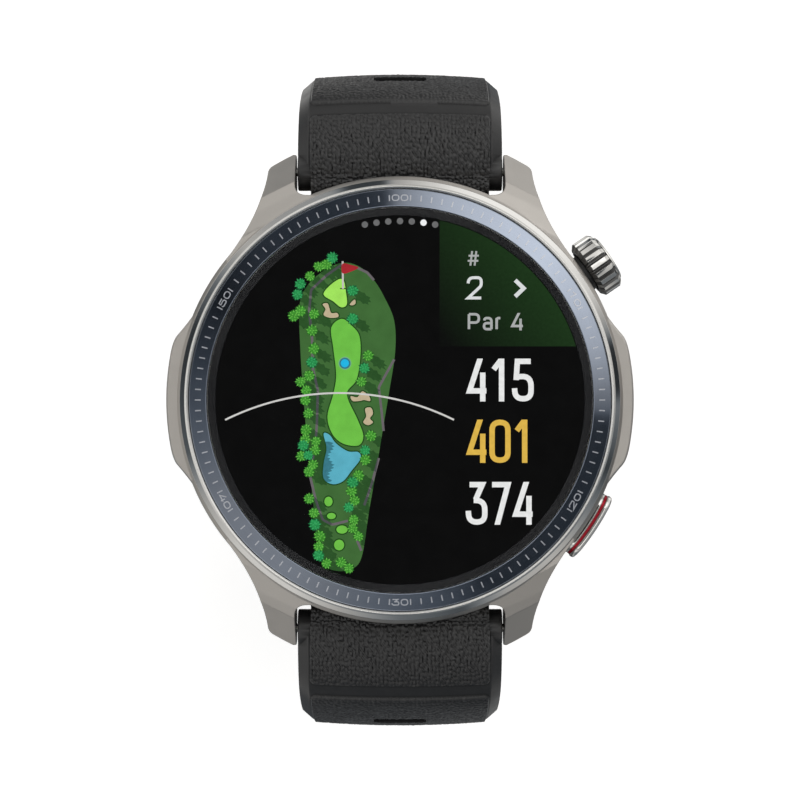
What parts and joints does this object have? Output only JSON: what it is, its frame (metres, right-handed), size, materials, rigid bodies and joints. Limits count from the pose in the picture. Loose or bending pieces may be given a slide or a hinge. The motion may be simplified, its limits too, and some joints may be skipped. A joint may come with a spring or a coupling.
{
  "type": "golf gps watch",
  "caption": "Round golf wristwatch with a flat display, scale ring, knurled crown, curved side button, and a two-part strap with a pin buckle.",
  "frame": {"origin": "centre of the flat sensor window on the case back, where the watch rests on the wrist", "axes": "+Z out through the display, +Y to 12 o'clock, +X to 3 o'clock, the side of the crown and button"},
  "size_m": [0.049, 0.0723, 0.0955],
  "materials": {
    "titanium": "satin",
    "polished": "polished",
    "blue_ring": "gloss",
    "crystal": "polished",
    "sensor_glass": "gloss",
    "screen": "gloss",
    "black_rubber": "matte",
    "black_polymer": "matte",
    "red_ring": "gloss",
    "steel": "satin",
    "gold_contact": "polished",
    "board_green": "matte",
    "cell_wrap": "satin",
    "amber_flex": "gloss"
  },
  "bodies": {
    "case": {"mid_case": "titanium", "bezel_ring": "polished", "scale_ring": "blue_ring", "display_glass": "crystal", "glass_gasket": "black_rubber", "display_panel": "screen", "display_flex": "amber_flex", "chassis": "black_polymer", "main_board": "board_green", "processor_shield": "steel", "gnss_antenna": "gold_contact", "battery": "cell_wrap", "battery_flex": "amber_flex", "speaker": "black_polymer", "microphone": "steel", "pressure_sensor": "steel", "haptic_cup": "steel", "back_cover": "black_polymer", "back_gasket": "black_rubber", "sensor_window": "sensor_glass", "sensor_board": "board_green", "charge_pin_1": "gold_contact", "charge_pin_2": "gold_contact", "case_screw_1": "steel", "case_screw_2": "steel", "case_screw_3": "steel", "case_screw_4": "steel", "crown_tube": "black_polymer", "crown_encoder": "black_polymer", "button_tube": "steel", "button_switch": "black_polymer"},
    "crown_carrier": {"crown_push_plate": "steel"},
    "crown": {"crown_knob": "titanium", "crown_cap": "polished", "crown_stem": "steel", "crown_seal": "black_rubber", "crown_clip": "steel"},
    "button": {"button_cap": "polished", "button_ring": "red_ring", "button_stem": "steel", "button_seal": "black_rubber", "button_clip": "steel"},
    "haptic": {"haptic_weight": "steel"},
    "strap_top": {"strap_buckle_half": "black_rubber", "spring_bar_top": "steel", "buckle_bar": "steel", "keeper_fixed": "black_rubber"},
    "strap_bottom": {"strap_tail_half": "black_rubber", "spring_bar_bottom": "steel"},
    "lever_top": {"release_lever_top": "steel"},
    "lever_bottom": {"release_lever_bottom": "steel"},
    "buckle": {"buckle_frame": "titanium"},
    "tongue": {"buckle_tongue": "titanium"},
    "keeper": {"keeper_free": "black_rubber"}
  },
  "joints": [
    {"name": "crown_press", "type": "slide", "parent": "case", "child": "crown_carrier", "axis": [-0.8241, -0.5664, 0], "range_m": [0, 0.00035]},
    {"name": "crown_turn", "type": "hinge", "parent": "crown_carrier", "child": "crown", "pos_m": [0.01937, 0.01331, 0.0063], "axis": [0.8241, 0.5664, 0], "continuous": true},
    {"name": "button_press", "type": "slide", "parent": "case", "child": "button", "axis": [-0.8329, 0.5534, 0], "range_m": [0, 0.0004]},
    {"name": "haptic_shake", "type": "slide", "parent": "case", "child": "haptic", "axis": [0, 0, 1], "range_m": [-0.0003, 0.0003]},
    {"name": "strap_top_pivot", "type": "hinge", "parent": "case", "child": "strap_top", "pos_m": [0, 0.0242, 0.0044], "axis": [1, 0, 0], "range_deg": [-8, 30]},
    {"name": "strap_bottom_pivot", "type": "hinge", "parent": "case", "child": "strap_bottom", "pos_m": [0, -0.0242, 0.0044], "axis": [-1, 0, 0], "range_deg": [-8, 30]},
    {"name": "release_top", "type": "slide", "parent": "strap_top", "child": "lever_top", "axis": [-1, 0, 0], "range_m": [0, 0.0013]},
    {"name": "release_bottom", "type": "slide", "parent": "strap_bottom", "child": "lever_bottom", "axis": [1, 0, 0], "range_m": [0, 0.0013]},
    {"name": "buckle_pivot", "type": "hinge", "parent": "strap_top", "child": "buckle", "pos_m": [0, 0.00101, -0.0483], "axis": [1, 0, 0], "range_deg": [-40, 50]},
    {"name": "tongue_pivot", "type": "hinge", "parent": "buckle", "child": "tongue", "pos_m": [0, 0.00101, -0.0483], "axis": [1, 0, 0], "range_deg": [0, 60]},
    {"name": "keeper_slide", "type": "slide", "parent": "strap_top", "child": "keeper", "axis": [0, -0.8192, -0.5736], "range_m": [-0.006, 0.004]}
  ]
}
